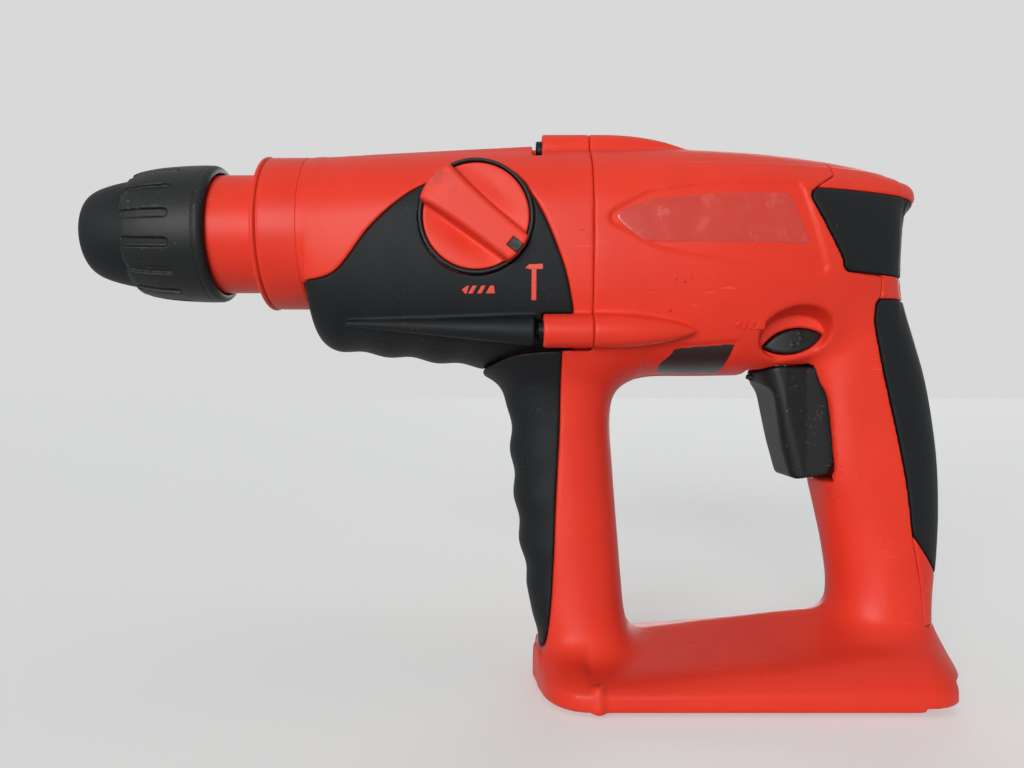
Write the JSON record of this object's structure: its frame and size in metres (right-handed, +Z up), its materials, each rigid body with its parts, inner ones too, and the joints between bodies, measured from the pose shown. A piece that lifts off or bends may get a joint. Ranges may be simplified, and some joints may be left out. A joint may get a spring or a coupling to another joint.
{
  "type": "cordless rotary hammer",
  "caption": "Cordless rotary hammer with a quick-release bit chuck, round neck for a side handle, mode knob, D-shaped rear handle with trigger, front grip and a sliding battery foot",
  "frame": {"origin": "the centre of the bit bore's mouth, on the drilling axis at the front of the nose", "axes": "X runs along the drilling axis from the chuck to the handle, Z is up with the tool standing on its foot, and Y is across the tool with the mode knob on the -Y side"},
  "size_m": [0.319, 0.0795, 0.2011],
  "materials": {
    "red_plastic": "satin moulded ABS with a fine mould texture",
    "soft_rubber": "matt soft-touch overmould",
    "black_plastic": "matt black nylon",
    "tool_steel": "ground and oiled steel",
    "bearing_steel": "polished bearing steel",
    "black_screw": "black oxide screw",
    "cast_aluminium": "die-cast aluminium",
    "copper": "enamelled copper wire and copper bars",
    "ferrite": "sintered ferrite and carbon",
    "brass_blade": "nickel-brass contact"
  },
  "bodies": {
    "housing": {"nose_collar": "red_plastic", "gear_housing": "red_plastic", "gear_shroud": "soft_rubber", "main_housing": "red_plastic", "rear_shell": "red_plastic", "rear_saddle_pad": "soft_rubber", "rear_grip_pad": "soft_rubber", "front_grip": "soft_rubber", "housing_screws": "black_screw", "knob_bezel": "black_plastic", "shaft_seal": "soft_rubber", "spindle_bearing": "bearing_steel", "tube_bearing": "bearing_steel", "bearing_plate": "cast_aluminium", "lay_front_bearing": "bearing_steel", "lay_rear_bearing": "bearing_steel", "motor_front_bearing": "bearing_steel", "motor_can": "tool_steel", "motor_magnets": "ferrite", "brush_plate": "black_plastic", "carbon_brushes": "ferrite", "motor_rear_bearing": "bearing_steel", "switch_body": "black_plastic", "contact_block": "black_plastic", "contact_blades": "brass_blade", "trigger_pin": "tool_steel"},
    "spindle": {"tool_holder": "tool_steel", "nose_cap": "soft_rubber", "locking_balls": "bearing_steel", "spring_washer": "tool_steel", "sleeve_spring": "bearing_steel", "spindle_gear": "tool_steel"},
    "sleeve": {"chuck_sleeve": "black_plastic", "lock_ring": "tool_steel"},
    "bolt": {"impact_bolt": "tool_steel"},
    "striker": {"striker": "tool_steel"},
    "piston": {"piston": "cast_aluminium"},
    "layshaft": {"countershaft": "tool_steel", "countershaft_gear": "tool_steel", "wobble_hub": "tool_steel"},
    "wobble": {"wobble_ring": "tool_steel"},
    "rotor": {"rotor_shaft": "tool_steel", "rotor_stack": "tool_steel", "rotor_windings": "copper", "commutator": "copper", "motor_fan": "black_plastic"},
    "knob": {"mode_knob": "red_plastic", "knob_pointer": "black_plastic", "selector_shaft": "tool_steel"},
    "trigger": {"trigger": "black_plastic"},
    "button": {"direction_button": "black_plastic"}
  },
  "joints": [
    {"name": "spindle_spin", "type": "hinge", "parent": "housing", "child": "spindle", "pos_m": [0, 0, 0], "axis": [1, 0, 0], "continuous": true},
    {"name": "sleeve_slide", "type": "slide", "parent": "spindle", "child": "sleeve", "axis": [1, 0, 0], "range_m": [0, 0.008], "stiffness_N_per_m": 900, "springref_m": -0.004, "deforming": ["sleeve_spring"]},
    {"name": "countershaft_spin", "type": "hinge", "parent": "housing", "child": "layshaft", "pos_m": [0.15, 0, -0.027], "axis": [1, 0, 0], "continuous": true},
    {"name": "rotor_spin", "type": "hinge", "parent": "housing", "child": "rotor", "pos_m": [0.2, 0, -0.008], "axis": [1, 0, 0], "continuous": true},
    {"name": "piston_slide", "type": "slide", "parent": "housing", "child": "piston", "axis": [1, 0, 0], "range_m": [-0.006, 0.006]},
    {"name": "wobble_rock", "type": "hinge", "parent": "housing", "child": "wobble", "pos_m": [0.155, 0, -0.027], "axis": [0, 1, 0], "range_deg": [-13, 13]},
    {"name": "striker_slide", "type": "slide", "parent": "housing", "child": "striker", "axis": [1, 0, 0], "range_m": [-0.008, 0.006]},
    {"name": "bolt_slide", "type": "slide", "parent": "housing", "child": "bolt", "axis": [1, 0, 0], "range_m": [-0.0038, 0.0038]},
    {"name": "mode_turn", "type": "hinge", "parent": "housing", "child": "knob", "pos_m": [0.1473, 0, 0], "axis": [0, 1, 0], "range_deg": [0, 50]},
    {"name": "trigger_pull", "type": "hinge", "parent": "housing", "child": "trigger", "pos_m": [0.2795, 0, -0.046], "axis": [0, -1, 0], "range_deg": [0, 8], "stiffness_Nm_per_rad": 3, "springref_deg": -5.73},
    {"name": "button_shift", "type": "slide", "parent": "housing", "child": "button", "axis": [0, 1, 0], "range_m": [-0.0025, 0.0025]}
  ],
  "couplings": [
    {"joint": "countershaft_spin", "follows": "spindle_spin", "ratio": -3.5},
    {"joint": "rotor_spin", "follows": "spindle_spin", "ratio": 9.8},
    {"joint": "wobble_rock", "follows": "piston_slide", "rad_per_m": 37.037}
  ]
}
